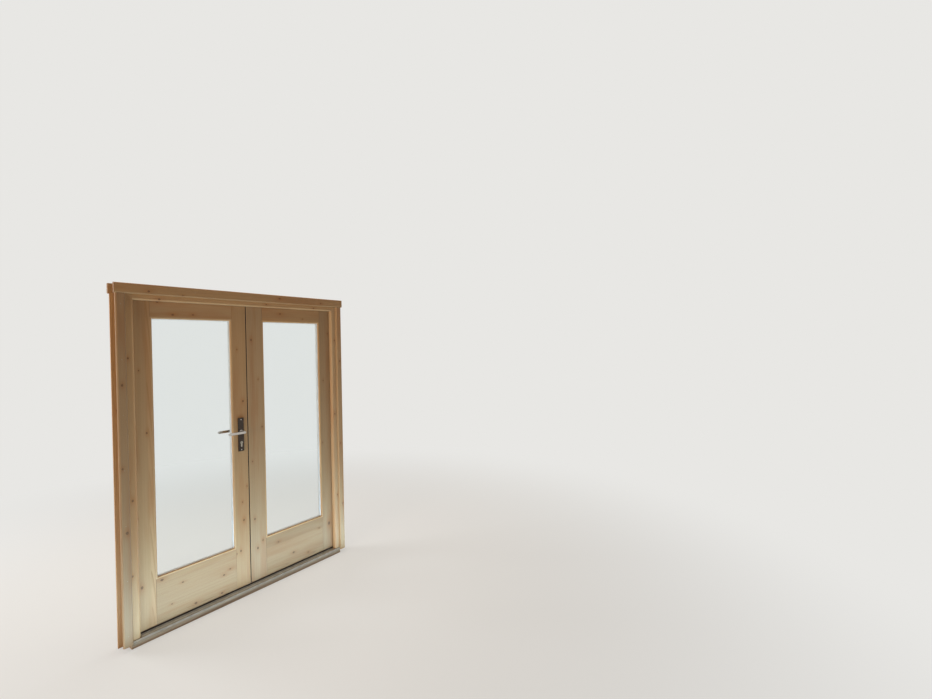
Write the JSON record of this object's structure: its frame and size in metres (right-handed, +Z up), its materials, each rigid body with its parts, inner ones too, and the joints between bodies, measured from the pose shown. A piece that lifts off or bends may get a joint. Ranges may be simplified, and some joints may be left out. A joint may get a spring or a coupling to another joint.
{
  "type": "glazed double door",
  "caption": "Outward-opening glazed double door in a mitred timber frame with casing boards, a threshold, lift-off hinges and a lever lock on the left leaf.",
  "frame": {"origin": "middle of the threshold's underside, halfway through the wall's depth", "axes": "+Z up, +X along the wall to the right as seen from the room, +Y outdoors"},
  "size_m": [1.524, 0.152, 2.027],
  "materials": {
    "frame_timber": "clear-coated pine, satin",
    "casing_timber": "clear-coated pine, satin",
    "leaf_timber": "clear-coated pine with small knots, satin",
    "bead_timber": "clear-coated pine, satin",
    "threshold_timber": "oiled hardwood",
    "threshold_metal": "satin anodised",
    "seal": "matte",
    "brush": "matte",
    "glass": "clear float glass",
    "spacer": "satin",
    "hinge_steel": "zinc plated",
    "lock_steel": "brushed",
    "cylinder_metal": "nickel plated, satin",
    "lever_steel": "polished, darkened by reflections"
  },
  "bodies": {
    "frame": {"threshold": "threshold_timber", "threshold_plate": "threshold_metal", "left_jamb": "frame_timber", "right_jamb": "frame_timber", "head_jamb": "frame_timber", "left_inner_casing": "casing_timber", "right_inner_casing": "casing_timber", "head_inner_casing": "casing_timber", "left_outer_casing": "casing_timber", "right_outer_casing": "casing_timber", "head_outer_casing": "casing_timber", "left_jamb_seal": "seal", "right_jamb_seal": "seal", "head_seal": "seal", "left_jamb_hinges": "hinge_steel", "right_jamb_hinges": "hinge_steel"},
    "left_leaf": {"left_hinge_stile": "leaf_timber", "left_meeting_stile": "leaf_timber", "left_top_rail": "leaf_timber", "left_bottom_rail": "leaf_timber", "left_glass": "glass", "left_spacer": "spacer", "left_beads": "bead_timber", "left_drip_rail": "leaf_timber", "left_brush": "brush", "left_leaf_hinges": "hinge_steel", "lock_case": "lock_steel", "lock_face_plate": "lock_steel", "lock_cylinder": "cylinder_metal", "inner_back_plate": "lever_steel", "outer_back_plate": "lever_steel"},
    "right_leaf": {"right_hinge_stile": "leaf_timber", "right_meeting_stile": "leaf_timber", "right_top_rail": "leaf_timber", "right_bottom_rail": "leaf_timber", "right_glass": "glass", "right_spacer": "spacer", "right_beads": "bead_timber", "right_drip_rail": "leaf_timber", "right_brush": "brush", "right_leaf_hinges": "hinge_steel", "strike_plate": "lock_steel", "flush_bolts": "lock_steel", "meeting_seal": "seal"},
    "levers": {"inner_lever": "lever_steel", "outer_lever": "lever_steel", "spindle": "lever_steel"}
  },
  "joints": [
    {"name": "left_leaf_swing", "type": "hinge", "parent": "frame", "child": "left_leaf", "pos_m": [-0.6835, 0.0435, 1.004], "axis": [0, 0, 1], "range_deg": [0, 110]},
    {"name": "right_leaf_swing", "type": "hinge", "parent": "frame", "child": "right_leaf", "pos_m": [0.6835, 0.0435, 1.004], "axis": [0, 0, -1], "range_deg": [0, 110]},
    {"name": "lever_turn", "type": "hinge", "parent": "left_leaf", "child": "levers", "pos_m": [-0.06, 0.016, 1.098], "axis": [0, -1, 0], "range_deg": [0, 45], "stiffness_Nm_per_rad": 1.2, "springref_deg": -28.65}
  ]
}
